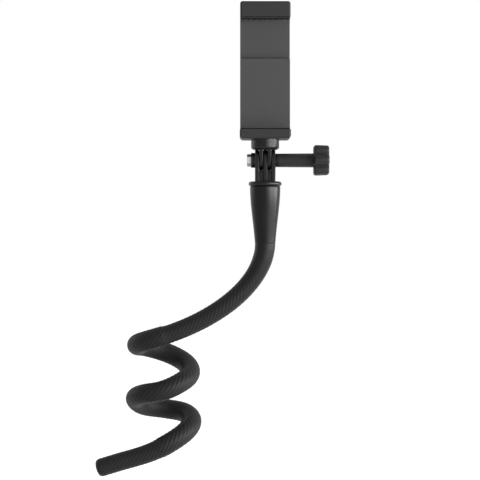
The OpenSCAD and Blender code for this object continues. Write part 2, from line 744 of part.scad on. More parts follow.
module spring_right() {
    spring(spring_x);
}

neck_skin();
neck_core();
core_ferrule();
core_pin();
core_end_cap();
grip_sleeve();
arm_head();
pivot_nut();
pivot_bolt();
thumb_knob();
swivel_adapter();
tripod_stud();
tripod_insert();
clip_base();
lower_jaw_pad();
spring_pins();
clip_slide();
upper_jaw_pad();
slide_screws();
spring_left();
spring_right();
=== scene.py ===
"""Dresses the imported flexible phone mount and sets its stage."""

import math

import bmesh
import bpy
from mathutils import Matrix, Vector


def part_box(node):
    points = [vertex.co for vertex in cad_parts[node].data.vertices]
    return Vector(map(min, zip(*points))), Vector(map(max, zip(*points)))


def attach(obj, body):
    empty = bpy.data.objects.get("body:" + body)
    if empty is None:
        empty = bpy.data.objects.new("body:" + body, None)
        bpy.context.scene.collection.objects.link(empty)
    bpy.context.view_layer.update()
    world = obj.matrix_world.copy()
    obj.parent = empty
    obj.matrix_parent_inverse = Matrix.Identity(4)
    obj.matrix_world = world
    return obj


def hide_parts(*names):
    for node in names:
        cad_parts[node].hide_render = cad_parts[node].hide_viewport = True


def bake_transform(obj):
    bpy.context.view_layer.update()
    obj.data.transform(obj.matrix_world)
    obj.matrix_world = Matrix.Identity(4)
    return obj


bl_info = {
    "name": "Flexible phone mount",
    "version": (1, 0, 0),
    "blender": (4, 5, 0),
    "location": "View3D > Sidebar > Phone mount",
    "description": "Dresses the flexible phone mount and sets its stage",
    "category": "Object",
}

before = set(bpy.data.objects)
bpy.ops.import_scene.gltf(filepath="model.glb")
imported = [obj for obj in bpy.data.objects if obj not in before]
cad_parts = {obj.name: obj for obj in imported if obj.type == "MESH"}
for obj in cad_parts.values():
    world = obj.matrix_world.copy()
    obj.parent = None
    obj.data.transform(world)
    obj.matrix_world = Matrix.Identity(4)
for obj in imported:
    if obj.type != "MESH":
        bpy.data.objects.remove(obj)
MM = 0.001

# Sizes of the arm's route, in millimetres, and its tail's slope in degrees, the same as the source's
ARM_REACH = 76.2
PIVOT_H = 170.5
SKIN_D = 13.3
BEND_SWELL = 1.5
NECK_PULL = 28
LEAD_PULL = 46.5
COIL_BORE = 25.2
COIL_PITCH = 40.4
LOOSE_TURN = 2
TAIL_RUN = 34
TAIL_DROP = 11.7
TAIL_SLOPE = 17
TAIL_TIP = 15
TAIL_EDGE = 3.5
EXIT_PULL = 12.6
TIP_PULL = 10
TIGHT_BEND = 45
COIL_TURNS = 2
MARKS_A_TURN = 8
COIL_R = (COIL_BORE + SKIN_D + BEND_SWELL) / 2
ARM_Y = -COIL_R
# Heights of the arm's middle at the coil's marks, in shares of its pitch, with one mark more at each end
WOUND_HEIGHTS = (1.13, 1.00, 0.89, 0.80, 0.745, 0.63, 0.47, 0.30, 0.15, 0,
                 -0.08, -0.20, -0.37, -0.45, -0.51, -0.64, -0.82, -1.03, -1.24)
# Points on the bend into the coil, on the coil and on the bend into the tail, before they are evenly spaced
LEAD_STEPS = 500
COIL_STEPS = 1200
TAIL_STEPS = 200

# Sizes of the head, the sleeve and the hinge, the same as the source's
HEAD_H = 15.7
BEAD_H = 3.4
SPIGOT_LEN = 22
SLEEVE_LEN = 42.4
SLEEVE_END_D = 15.2
PRONG_R = 7.6
PRONG_T = 3
PRONG_GAP = 3
SADDLE_GAP = 0.3
TONGUE_CLEAR = 0.4
COLLAR_H = 7.5
SEAT = 0.1
BEAD_Z = PIVOT_H - HEAD_H - BEAD_H
SLEEVE_END_Z = BEAD_Z - SLEEVE_LEN
NECK_Z = SLEEVE_END_Z + 0.6
NECK_TOP_Z = BEAD_Z - SPIGOT_LEN - 1

# The skin's flare at the sleeve's end: its run below and inside that end, and its gap to the sleeve's rim
FLARE_LEN = 9
FLARE_INSIDE = 1
FLARE_GAP = 0.06
# Run of skin on each side of a point that its bend is measured over
BEND_REACH = 5
# Runs from the skin's top where its ribs start and are full, and from its tip where they end and are full
RIBS_START = 30
RIBS_FULL = 75
TIP_PLAIN = 2
TIP_RIBBED = 5
# A rib's crest is flattened by this power, and this share of its height lies below the plain skin
CREST_POWER = 0.7
RIB_SUNK = 0.6

# Sizes of the thumb screw, measured from the pivot, the same as the source's
STEM_FROM = (3 * PRONG_T + 2 * PRONG_GAP) / 2 + SEAT
STEM_D = 10
STEM_KNOB_D = 10.4
STEM_LEN = 28.2
KNOB_D = 24.4
KNOB_LEN = 11.3
LOBE_R = 4.1
KNOB_LOBES = 6
# The knob's finish: faces round it, rim rounding, how much smaller its front rim is, and its two stem edges
KNOB_SIDES = 144
KNOB_EDGE = 1.7
KNOB_DRAFT = 0.3
STEM_EDGE = 0.25
STEM_FILLET = 0.7
# The hollows between the lobes: how far they stand out from the lobes' middles, and how tightly they blend
HOLLOW_RISE = 0.35
HOLLOW_POWER = 22
# Shallow dish in the knob's face: its radius, then how deep each ring is and how much wider than that
DISH_R = 0.55 * KNOB_D / 2
DISH_RINGS = ((0, 0.25), (0.25, 0), (0.6, -0.05), (0.8, -0.3))

# Sizes of the clip, measured from the pivot, the same as the source's
CLIP_W = 37
CLIP_Z = PRONG_R + TONGUE_CLEAR + COLLAR_H
JAW_FRONT = 11
LIP_T = 2.4
LIP_H = 1.8
LOWER_JAW_H = 6.9
JAW_GAP = 79.4
PLATE_Y = 3
PLATE_T = 4.8
SLIDE_Y = PLATE_Y + PLATE_T + 0.2
PAD_T = 1.5
PAD_STOP = 1.6
RIB_H = 0.7
RIB_COUNT = 9
RIB_PITCH = 4.1
LOWER_FLOOR_Z = CLIP_Z + LOWER_JAW_H - LIP_H
UPPER_FLOOR_Z = CLIP_Z + LOWER_JAW_H + 2 * PAD_T + JAW_GAP + LIP_H
# A pad's clearances under it, in front of it and at its sides, its wrap over the lip, and its edge rounding
PAD_UNDER = 0.05
PAD_INSET = 0.2
PAD_SIDE = 0.4
PAD_WRAP = 1.2
PAD_EDGE = 0.18
# The ribs' start behind the pad's front, the two rows' overlap, and the floor ribs' radius
RIBS_INSET = 0.5
RIBS_OVERLAP = 0.2
FLOOR_RIB_R = 0.8 * RIB_H
# Heights over the jaw's lip where the groove along the pad's seam ends in front and at its floor
SEAM_LIP = 0.75
SEAM_FLOOR = 0.6
# The two pads: node, body, floor height, way up, depth of the seam groove, rib radius and slope at the lip
PADS = (("lower_jaw_pad", "clip", LOWER_FLOOR_Z, 1, 0.7, RIB_H / 3, 0.2),
        ("upper_jaw_pad", "upper_jaw", UPPER_FLOOR_Z, -1, 0.25, RIB_H, 0.6))
# Depths between which the faces turned to the front have the panel's or the pads' front colour
PLATE_BAND = (ARM_Y + PLATE_Y - 0.2, ARM_Y + PLATE_Y + 1.2)
SLIDE_BAND = (ARM_Y + SLIDE_Y - 3.3, ARM_Y + SLIDE_Y + 0.8)
PAD_BAND = (ARM_Y - JAW_FRONT - 0.2, ARM_Y - JAW_FRONT + 0.45)

# Sizes of the springs, the same as the source's, with the length of a spring's neck and its loops' clearance
SPRING_D = 3
SPRING_WIRE = 0.6
SPRING_PIN_D = 1.6
SLIDE_SCREW_D = 2
SPRING_NECK = 2.4
LOOP_GAP = 0.15
POINTS_A_COIL = 16

# Faces that nearly touch the hinge's round ends: the piece, the face's height and how far it is moved
FACES_BY_HINGE = (("arm_head", PIVOT_H - PRONG_R - SADDLE_GAP, SADDLE_GAP - 0.05),
                  ("swivel_adapter", PIVOT_H + PRONG_R + TONGUE_CLEAR, 0.05 - TONGUE_CLEAR))
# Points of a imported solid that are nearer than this, in metres, are one point
SAME_POINT = 2e-6
# Angles in degrees under which faces are one flat face, and over which an edge is rounded
FLAT_ANGLE = 0.6
SHARP_ANGLE = 32
# Rounding of the small pieces' edges, as a share of the clip's
SMALL_EDGE = 0.7

# The stage, in metres: the floor, the point that the lights face, and the camera
FLOOR_HALF = 5.0
FLOOR_Z = -0.2
FLOOR_GLOW = 0.88
LIT_POINT = Vector((0.05, -0.02, 0.12))
# Each light's name, its level's name, its place from that point, and its width and height
LIGHTS = (("key light", "key_watts", Vector((1.41, -0.5, 0.05)), (1.9, 0.2)),
          ("fill light", "fill_watts", Vector((0.8, -1.27, 0.08)), (0.95, 0.18)),
          ("rim light", "rim_watts", Vector((-1.1, 0.45, 0.2)), (1.0, 0.4)))
CAMERA_PLACE = (0.0576, -1.0538, 0.1116)
LENS_MM = 104.8
SENSOR_MM = 36


def linear(hex_text):
    """Linear colour with full alpha from an sRGB hex value."""
    channels = [int(hex_text[i:i + 2], 16) / 255 for i in (1, 3, 5)]
    return tuple(c / 12.92 if c <= 0.04045 else ((c + 0.055) / 1.055) ** 2.4 for c in channels) + (1.0,)


def times(colour, share):
    """A colour made darker or lighter, with full alpha."""
    return [min(1, share * c) for c in colour[:3]] + [1]


def add(tree, kind, inputs=None, **settings):
    """Adds a node, sets its properties, and fills its inputs with values or links."""
    node = tree.nodes.new(kind)
    for name, value in settings.items():
        setattr(node, name, value)
    for key, value in (inputs or {}).items():
        if isinstance(value, bpy.types.NodeSocket):
            tree.links.new(value, node.inputs[key])
        else:
            node.inputs[key].default_value = value
    return node


def colour_prop(name, description, hex_text):
    """A colour that the user can change."""
    return bpy.props.FloatVectorProperty(name=name, description=description, subtype="COLOR", size=4,
                                         min=0, max=1, default=linear(hex_text))


class ArmSkinSettings(bpy.types.PropertyGroup):
    """Sizes and colour of the arm's ribbed skin"""
    rib_pitch: bpy.props.FloatProperty(
        name="Rib pitch", description="Distance between two ribs along the arm", default=3.4 * MM,
        min=1.5 * MM, max=8 * MM, unit="LENGTH")
    rib_height: bpy.props.FloatProperty(
        name="Rib height", description="Height of a rib over the groove beside it", default=0.32 * MM,
        min=0, max=1 * MM, unit="LENGTH")
    rib_starts: bpy.props.IntProperty(
        name="Rib starts", description="Number of ribs that wind round the arm side by side", default=13,
        min=1, max=24)
    ring_step: bpy.props.FloatProperty(
        name="Ring step", description="Distance between two rings of the mesh", default=0.55 * MM,
        min=0.3 * MM, max=2 * MM, unit="LENGTH")
    sides: bpy.props.IntProperty(
        name="Sides", description="Number of faces round the arm", default=96, min=24, max=128)
    colour: colour_prop("Skin", "Colour of the arm's skin", "#222223")


class MouldingSettings(bpy.types.PropertyGroup):
    """Edge rounding and colours of the moulded pieces"""
    edge: bpy.props.FloatProperty(
        name="Edge rounding", description="Radius that a moulded edge is rounded to", default=0.35 * MM,
        min=0.05 * MM, max=1 * MM, unit="LENGTH")
    clip_colour: colour_prop("Clip", "Colour of the clip's plastic", "#303031")
    panel_colour: colour_prop("Panel", "Colour of the flat panel between the jaws", "#474748")
    head_colour: colour_prop("Head", "Colour of the head and the adapter", "#121213")
    knob_colour: colour_prop("Knob", "Colour of the thumb screw's knob", "#282829")
    sleeve_colour: colour_prop("Sleeve", "Colour of the grip sleeve", "#0c0c0d")
    pad_colour: colour_prop("Pads", "Colour of the jaw pads' front", "#444445")


class SpringSettings(bpy.types.PropertyGroup):
    """Winding of the two springs that pull the jaws together"""
    coils: bpy.props.IntProperty(
        name="Coils", description="Number of turns in each spring", default=17, min=8, max=30)
    sides: bpy.props.IntProperty(
        name="Sides", description="Number of faces round the wire", default=10, min=6, max=24)


class StageSettings(bpy.types.PropertyGroup):
    """Light levels of the stage"""
    key_watts: bpy.props.FloatProperty(
        name="Key light", description="Power of the soft light at the right", default=36, min=0,
        max=200, unit="POWER")
    fill_watts: bpy.props.FloatProperty(
        name="Fill light", description="Power of the weaker light to the right of the camera",
        default=7.5, min=0, max=200, unit="POWER")
    rim_watts: bpy.props.FloatProperty(
        name="Rim light", description="Power of the weakest light, behind the left side", default=1.5,
        min=0, max=200, unit="POWER")
    sky_level: bpy.props.FloatProperty(
        name="Sky", description="Brightness of the even light from all round", default=0.2, min=0, max=1,
        subtype="FACTOR")


def start_material(name):
    """An empty material with its Principled shader joined to the output."""
    material = bpy.data.materials.new(name)
    material.use_nodes = True
    tree = material.node_tree
    tree.nodes.clear()
    shader = add(tree, "ShaderNodeBsdfPrincipled")
    add(tree, "ShaderNodeOutputMaterial", {"Surface": shader.outputs["BSDF"]})
    return material, tree, shader


def extruded_skin_material(colour):
    """Extruded thermoplastic rubber: deep matte grey with painted shading on the ribs, paler on their crests
    and darker in the grooves, and duller where ribbed.
    """
    material, tree, shader = start_material("TPE rubber, extruded and ribbed")
    rib = add(tree, "ShaderNodeAttribute", attribute_name="rib")
    place = add(tree, "ShaderNodeTexCoord")
    # Handling leaves cloudy patches about 12 mm wide on soft rubber
    cloud = add(tree, "ShaderNodeTexNoise", {"Vector": place.outputs["Object"], "Scale": 1000.0 / 12,
                                             "Detail": 3.0})
    # Painted light and shade: each rib's height makes its crest lighter and the groove beside it darker
    base = add(tree, "ShaderNodeMixRGB", {"Fac": rib.outputs["Fac"], "Color1": times(colour, 0.72),
                                          "Color2": times(colour, 1.18)})
    worn = add(tree, "ShaderNodeMixRGB", {"Fac": cloud.outputs["Fac"], "Color1": (0.85, 0.85, 0.85, 1),
                                          "Color2": (1.12, 1.12, 1.12, 1)})
    shade = add(tree, "ShaderNodeMixRGB", {"Fac": 1.0, "Color1": base.outputs["Color"],
                                           "Color2": worn.outputs["Color"]}, blend_type="MULTIPLY")
    tree.links.new(shade.outputs["Color"], shader.inputs["Base Color"])
    ribbed = add(tree, "ShaderNodeAttribute", attribute_name="ribbed")
    worn_gloss = add(tree, "ShaderNodeMapRange", {"Value": cloud.outputs["Fac"], "To Min": -0.05,
                                                  "To Max": 0.05})
    rough = add(tree, "ShaderNodeMath", {0: ribbed.outputs["Fac"], 1: 0.16, 2: 0.37},
                operation="MULTIPLY_ADD")
    rough = add(tree, "ShaderNodeMath", {0: rough.outputs[0], 1: worn_gloss.outputs["Result"]},
                operation="ADD")
    tree.links.new(rough.outputs[0], shader.inputs["Roughness"])
    shader.inputs["Specular IOR Level"].default_value = 0.13
    # The extruded skin's own grain is about 0.05 mm, drawn at 0.5 mm so that it shows at all
    grain = add(tree, "ShaderNodeTexNoise", {"Vector": place.outputs["Object"], "Scale": 1000.0 / 0.5,
                                             "Detail": 2.0})
    bump = add(tree, "ShaderNodeBump", {"Height": grain.outputs["Fac"], "Strength": 0.12,
                                        "Distance": 0.05 * MM})
    tree.links.new(bump.outputs["Normal"], shader.inputs["Normal"])
    return material


def moulded_material(name, colour, rough, specular, grain, panel=None):
    """Moulded plastic or rubber: even colour, a faint flow mottle and a fine grained skin.

    Rough is the lowest and the highest roughness, and grain the grain's width and depth in millimetres.
    A panel is another colour for the faces turned to the front between two depths in millimetres.
    """
    material, tree, shader = start_material(name)
    place = add(tree, "ShaderNodeTexCoord")
    # Melt flow leaves a mottle about 15 mm wide, a few percent in brightness
    flow = add(tree, "ShaderNodeTexNoise", {"Vector": place.outputs["Object"], "Scale": 1000.0 / 15,
                                            "Detail": 2.0})
    shade = add(tree, "ShaderNodeMixRGB", {"Fac": flow.outputs["Fac"], "Color1": times(colour, 0.94),
                                           "Color2": times(colour, 1.06)})
    if panel:
        # The panel's colour ends within 0.15 mm of depth, and only faces turned well to the front take it
        pale, (start, end) = panel
        half = (end - start) / 2 * MM
        depth = add(tree, "ShaderNodeSeparateXYZ", {"Vector": place.outputs["Object"]}).outputs["Y"]
        off = add(tree, "ShaderNodeMath", {0: depth, 1: (start + end) / 2 * MM}, operation="SUBTRACT")
        away = add(tree, "ShaderNodeMath", {0: off.outputs[0]}, operation="ABSOLUTE").outputs[0]
        near = add(tree, "ShaderNodeMapRange", {"Value": away, "From Min": half,
                                                "From Max": half - 0.15 * MM})
        turned = add(tree, "ShaderNodeSeparateXYZ", {"Vector": place.outputs["Normal"]}).outputs["Y"]
        front = add(tree, "ShaderNodeMapRange", {"Value": turned, "From Min": -0.4, "From Max": -0.6})
        part = add(tree, "ShaderNodeMath", {0: near.outputs["Result"], 1: front.outputs["Result"]},
                   operation="MULTIPLY").outputs[0]
        shade = add(tree, "ShaderNodeMixRGB", {"Fac": part, "Color1": shade.outputs["Color"],
                                               "Color2": pale})
    tree.links.new(shade.outputs["Color"], shader.inputs["Base Color"])
    gloss = add(tree, "ShaderNodeMapRange", {"Value": flow.outputs["Fac"], "To Min": rough[0],
                                             "To Max": rough[1]})
    tree.links.new(gloss.outputs["Result"], shader.inputs["Roughness"])
    width, depth = grain
    grit = add(tree, "ShaderNodeTexNoise", {"Vector": place.outputs["Object"], "Scale": 1000.0 / width,
                                            "Detail": 2.0})
    bump = add(tree, "ShaderNodeBump", {"Height": grit.outputs["Fac"], "Strength": 0.2,
                                        "Distance": depth * MM})
    tree.links.new(bump.outputs["Normal"], shader.inputs["Normal"])
    shader.inputs["Specular IOR Level"].default_value = specular
    return material


def metal_material(name, hex_text, roughness, marks):
    """Worked metal: bright, with fine marks in its gloss, whose width is given in millimetres."""
    material, tree, shader = start_material(name)
    place = add(tree, "ShaderNodeTexCoord")
    worked = add(tree, "ShaderNodeTexNoise", {"Vector": place.outputs["Object"], "Scale": 1000.0 / marks,
                                              "Detail": 3.0})
    gloss = add(tree, "ShaderNodeMapRange", {"Value": worked.outputs["Fac"], "To Min": roughness - 0.08,
                                             "To Max": roughness + 0.1})
    tree.links.new(gloss.outputs["Result"], shader.inputs["Roughness"])
    shader.inputs["Base Color"].default_value = linear(hex_text)
    shader.inputs["Metallic"].default_value = 1.0
    return material


def use_material(piece, material):
    """Gives a piece one material in place of all it has."""
    piece.data.materials.clear()
    piece.data.materials.append(material)


def bezier(points, t):
    """Point on a cubic curve."""
    a, b, c, d = (Vector(p) for p in points)
    return (1 - t) ** 3 * a + 3 * (1 - t) ** 2 * t * b + 3 * (1 - t) * t ** 2 * c + t ** 3 * d


def wound_at(turn):
    """Height of the arm's middle after so many turns of the coil, on a smooth curve through the marks."""
    k = min(int(turn * MARKS_A_TURN), COIL_TURNS * MARKS_A_TURN - 1)
    f = turn * MARKS_A_TURN - k
    a, b, c, d = WOUND_HEIGHTS[k:k + 4]
    return COIL_PITCH * (b + 0.5 * f * (c - a + f * (2 * a - 5 * b + 4 * c - d + f * (3 * (b - c) + d - a))))


def arm_route(step):
    """Middle points of the arm from inside the sleeve to the tail's tip, in millimetres, and their step."""
    mark_run = 2 * math.pi * COIL_R / MARKS_A_TURN
    lead = math.atan((WOUND_HEIGHTS[0] - WOUND_HEIGHTS[2]) * COIL_PITCH / 2 / mark_run)
    leave = math.atan((WOUND_HEIGHTS[-3] - WOUND_HEIGHTS[-1]) * COIL_PITCH / 2 / mark_run)
    top = WOUND_HEIGHTS[1] * COIL_PITCH
    low = WOUND_HEIGHTS[-2] * COIL_PITCH
    slope = math.radians(TAIL_SLOPE)
    tip_dir = Vector((-math.cos(slope), 0, -math.sin(slope)))
    tip_start = Vector((-TAIL_RUN, ARM_Y, low - TAIL_DROP))
    lead_bend = [(ARM_REACH, ARM_Y, NECK_Z), (ARM_REACH, ARM_Y, NECK_Z - NECK_PULL),
                 (LEAD_PULL * math.cos(lead), ARM_Y, top + LEAD_PULL * math.sin(lead)), (0, ARM_Y, top)]
    tail_bend = [(0, ARM_Y, low),
                 (-EXIT_PULL * math.cos(leave), ARM_Y, low - EXIT_PULL * math.sin(leave)),
                 tip_start - TIP_PULL * tip_dir, tip_start]
    fine = [Vector((ARM_REACH, ARM_Y, NECK_TOP_Z))]
    fine += [bezier(lead_bend, i / LEAD_STEPS) for i in range(LEAD_STEPS + 1)]
    for i in range(1, COIL_STEPS + 1):
        turn = COIL_TURNS * i / COIL_STEPS
        angle = 2 * math.pi * turn
        r = COIL_R + LOOSE_TURN * math.sin(math.pi * max(0, turn - COIL_TURNS + 1)) ** 2
        fine.append(Vector((-r * math.sin(angle), -r * math.cos(angle), wound_at(turn))))
    fine += [bezier(tail_bend, i / TAIL_STEPS) for i in range(1, TAIL_STEPS + 1)]
    fine.append(tip_start + TAIL_TIP * tip_dir)
    run = [0.0]
    for a, b in zip(fine, fine[1:]):
        run.append(run[-1] + (b - a).length)
    count = round(run[-1] / step)
    route = []
    k = 0
    for i in range(count + 1):
        s = run[-1] * i / count
        while k < len(run) - 2 and run[k + 1] < s:
            k += 1
        route.append(fine[k].lerp(fine[k + 1], (s - run[k]) / max(run[k + 1] - run[k], 1e-9)))
    return route, run[-1] / count


def skin_radii(route, step):
    """Radius of the skin at each point: it swells where the arm is bent tight, and its tip is rounded."""
    reach = max(2, round(BEND_REACH / step))
    last = len(route) - 1
    bends = []
    for i in range(len(route)):
        before = max(i - reach, 0)
        after = min(i + reach, last)
        if i in (before, after):
            bends.append(0.0)
            continue
        turn = (route[i] - route[before]).angle(route[after] - route[i])
        bends.append(2 * turn / ((after - before) * step))
    radii = []
    for i in range(len(route)):
        near = bends[max(i - reach, 0):i + reach + 1]
        radii.append(SKIN_D / 2 + BEND_SWELL / 2 * min(1, (TIGHT_BEND * sum(near) / len(near)) ** 2))
    for i in range(len(route)):
        below = i * step - (NECK_TOP_Z - SLEEVE_END_Z)
        share = max(0, 1 - below / FLARE_LEN) if below > 0 else max(0, 1 + below / FLARE_INSIDE)
        radii[i] += max(0, SLEEVE_END_D / 2 - FLARE_GAP - radii[i]) * share * share * (3 - 2 * share)
    full = radii[-1 - round(TAIL_EDGE / step)]
    for i in range(len(route)):
        rest = (last - i) * step
        if rest < TAIL_EDGE:
            radii[i] = full - TAIL_EDGE + math.sqrt(TAIL_EDGE ** 2 - (TAIL_EDGE - rest) ** 2)
    return radii


def spring_route(pin, screw, low_r, high_r, coils):
    """Middle of a spring's wire: a loop round the pin, the drawn-out coils and a loop round the screw."""
    coil_r = (SPRING_D - SPRING_WIRE) / 2
    low = pin.z + low_r
    high = screw.z - high_r
    loop = [math.radians(a) for a in range(0, 331, 15)]
    route = [pin + low_r * Vector((0, -math.sin(a), math.cos(a))) for a in reversed(loop)]
    count = POINTS_A_COIL * coils
    for i in range(1, count):
        z = low + (high - low) * i / count
        share = min(1, (z - low) / SPRING_NECK, (high - z) / SPRING_NECK)
        r = coil_r * share * share * (3 - 2 * share)
        angle = 2 * math.pi * coils * i / count
        route.append(Vector((pin.x + r * math.sin(angle), pin.y - r * math.cos(angle), z)))
    return route + [screw + high_r * Vector((math.sin(a), 0, -math.cos(a))) for a in loop]


def route_object(name, route, radii=()):
    """Curve object along a route in millimetres, with a radius at each point if they are given."""
    curve = bpy.data.curves.new(name, "CURVE")
    curve.dimensions = "3D"
    spline = curve.splines.new("POLY")
    spline.points.add(len(route) - 1)
    for point, place in zip(spline.points, route):
        point.co = (*(place * MM), 1)
    for point, r in zip(spline.points, radii):
        point.radius = r * MM
    source = bpy.data.objects.new(name, curve)
    bpy.context.scene.collection.objects.link(source)
    return source


def mesh_object(name, body):
    """Object made from a finished bmesh, which is freed."""
    mesh = bpy.data.meshes.new(name)
    body.to_mesh(mesh)
    body.free()
    piece = bpy.data.objects.new(name, mesh)
    bpy.context.scene.collection.objects.link(piece)
    return piece


def bake(source, name):
    """Plain mesh object with the result of another object's modifiers, which is then removed."""
    bpy.context.view_layer.update()
    evaluated = source.evaluated_get(bpy.context.evaluated_depsgraph_get())
    mesh = bpy.data.meshes.new_from_object(evaluated)
    mesh.name = name
    piece = bpy.data.objects.new(name, mesh)
    bpy.context.scene.collection.objects.link(piece)
    bpy.data.objects.remove(source)
    return piece


def start_tree(name, wanted):
    """Node group from geometry to geometry with more named inputs, and those inputs' identifiers."""
    tree = bpy.data.node_groups.new(name, "GeometryNodeTree")
    tree.interface.new_socket("Geometry", in_out="INPUT", socket_type="NodeSocketGeometry")
    sockets = {}
    for label, kind in wanted:
        item = tree.interface.new_socket(label, in_out="INPUT", socket_type="NodeSocket" + kind)
        sockets[label] = item.identifier
    tree.interface.new_socket("Geometry", in_out="OUTPUT", socket_type="NodeSocketGeometry")
    return tree, sockets, add(tree, "NodeGroupInput").outputs


def end_tree(tree, geometry, material):
    """Makes a tree's result real, gives it its material and sends it out."""
    real = add(tree, "GeometryNodeRealizeInstances", {"Geometry": geometry})
    done = add(tree, "GeometryNodeSetMaterial", {"Geometry": real.outputs[0], "Material": material})
    add(tree, "NodeGroupOutput", {"Geometry": done.outputs[0]})


def ribbed_tube_tree(material):
    """Nodes that sweep a round skin along a route and raise slanting ribs on it."""
    tree, sockets, given = start_tree("Ribbed skin", (
        ("Sides", "Int"), ("Rib pitch", "Float"), ("Rib height", "Float"), ("Rib starts", "Int"),
        ("Ribs start", "Float"), ("Ribs full", "Float"), ("Total run", "Float")))
    spline = add(tree, "GeometryNodeSplineParameter").outputs
    route = add(tree, "GeometryNodeStoreNamedAttribute", {"Geometry": given["Geometry"], "Name": "run",
                                                          "Value": spline["Length"]})
    circle = add(tree, "GeometryNodeCurvePrimitiveCircle", {"Resolution": given["Sides"], "Radius": 1.0})
    section = add(tree, "GeometryNodeStoreNamedAttribute", {"Geometry": circle.outputs["Curve"],
                                                            "Name": "around", "Value": spline["Factor"]})
    radius = add(tree, "GeometryNodeInputRadius").outputs["Radius"]
    tube = add(tree, "GeometryNodeCurveToMesh", {"Curve": route.outputs[0],
                                                 "Profile Curve": section.outputs[0],
                                                 "Scale": radius, "Fill Caps": True})
    run = add(tree, "GeometryNodeInputNamedAttribute", {"Name": "run"}).outputs["Attribute"]
    around = add(tree, "GeometryNodeInputNamedAttribute", {"Name": "around"}).outputs["Attribute"]
    along = add(tree, "ShaderNodeMath", {0: run, 1: given["Rib pitch"]}, operation="DIVIDE").outputs[0]
    across = add(tree, "ShaderNodeMath", {0: around, 1: given["Rib starts"]}, operation="MULTIPLY").outputs[0]
    phase = add(tree, "ShaderNodeMath", {0: along, 1: across}, operation="ADD").outputs[0]
    angle = add(tree, "ShaderNodeMath", {0: phase, 1: 2 * math.pi}, operation="MULTIPLY").outputs[0]
    wave = add(tree, "ShaderNodeMath", {0: angle}, operation="COSINE").outputs[0]
    lift = add(tree, "ShaderNodeMath", {0: wave, 1: 0.5, 2: 0.5}, operation="MULTIPLY_ADD").outputs[0]
    crest = add(tree, "ShaderNodeMath", {0: lift, 1: CREST_POWER}, operation="POWER").outputs[0]
    fade_in = add(tree, "ShaderNodeMapRange", {"Value": run, "From Min": given["Ribs start"],
                                               "From Max": given["Ribs full"]},
                  interpolation_type="SMOOTHSTEP").outputs["Result"]
    tail = add(tree, "ShaderNodeMath", {0: given["Total run"], 1: run}, operation="SUBTRACT").outputs[0]
    fade_out = add(tree, "ShaderNodeMapRange", {"Value": tail, "From Min": TIP_PLAIN * MM,
                                                "From Max": TIP_RIBBED * MM},
                   interpolation_type="SMOOTHSTEP").outputs["Result"]
    fade = add(tree, "ShaderNodeMath", {0: fade_in, 1: fade_out}, operation="MULTIPLY").outputs[0]
    ribs = add(tree, "ShaderNodeMath", {0: crest, 1: fade}, operation="MULTIPLY").outputs[0]
    marked = add(tree, "GeometryNodeStoreNamedAttribute", {"Geometry": tube.outputs["Mesh"], "Name": "rib",
                                                           "Value": ribs})
    sunk = add(tree, "ShaderNodeMath", {0: fade, 1: -RIB_SUNK}, operation="MULTIPLY").outputs[0]
    level = add(tree, "ShaderNodeMath", {0: ribs, 1: sunk}, operation="ADD").outputs[0]
    height = add(tree, "ShaderNodeMath", {0: level, 1: given["Rib height"]}, operation="MULTIPLY").outputs[0]
    marked = add(tree, "GeometryNodeStoreNamedAttribute", {"Geometry": marked.outputs[0], "Name": "ribbed",
                                                           "Value": fade})
    normal = add(tree, "GeometryNodeInputNormal").outputs["Normal"]
    offset = add(tree, "ShaderNodeVectorMath", {0: normal, "Scale": height}, operation="SCALE").outputs[0]
    moved = add(tree, "GeometryNodeSetPosition", {"Geometry": marked.outputs[0], "Offset": offset})
    smooth = add(tree, "GeometryNodeSetShadeSmooth", {"Geometry": moved.outputs[0], "Shade Smooth": True})
    end_tree(tree, smooth.outputs[0], material)
    return tree, sockets


def round_wire_tree(material):
    """Nodes that sweep a round wire along a route."""
    tree, sockets, given = start_tree("Round wire", (("Sides", "Int"), ("Wire radius", "Float")))
    circle = add(tree, "GeometryNodeCurvePrimitiveCircle", {"Resolution": given["Sides"],
                                                            "Radius": given["Wire radius"]})
    wire = add(tree, "GeometryNodeCurveToMesh", {"Curve": given["Geometry"],
                                                 "Profile Curve": circle.outputs["Curve"],
                                                 "Fill Caps": True})
    smooth = add(tree, "GeometryNodeSetShadeSmooth", {"Geometry": wire.outputs[0], "Shade Smooth": True})
    end_tree(tree, smooth.outputs[0], material)
    return tree, sockets


def rib_row_tree(material):
    """Nodes that add a row of round ribs to a pad, with their lengths running from front to back."""
    tree, sockets, given = start_tree("Rib row", (
        ("Count", "Int"), ("Pitch", "Float"), ("Radius", "Float"), ("Length", "Float"),
        ("First rib", "Vector")))
    step = add(tree, "ShaderNodeCombineXYZ", {"X": given["Pitch"]})
    row = add(tree, "GeometryNodeMeshLine", {"Count": given["Count"], "Start Location": given["First rib"],
                                             "Offset": step.outputs["Vector"]})
    rib = add(tree, "GeometryNodeMeshCylinder", {"Vertices": 16, "Radius": given["Radius"],
                                                 "Depth": given["Length"]})
    lying = add(tree, "GeometryNodeTransform", {"Geometry": rib.outputs["Mesh"],
                                                "Rotation": (math.radians(90), 0, 0)})
    ribs = add(tree, "GeometryNodeInstanceOnPoints", {"Points": row.outputs["Mesh"],
                                                      "Instance": lying.outputs[0]})
    join = add(tree, "GeometryNodeJoinGeometry")
    tree.links.new(given["Geometry"], join.inputs[0])
    tree.links.new(ribs.outputs[0], join.inputs[0])
    end_tree(tree, join.outputs[0], material)
    return tree, sockets


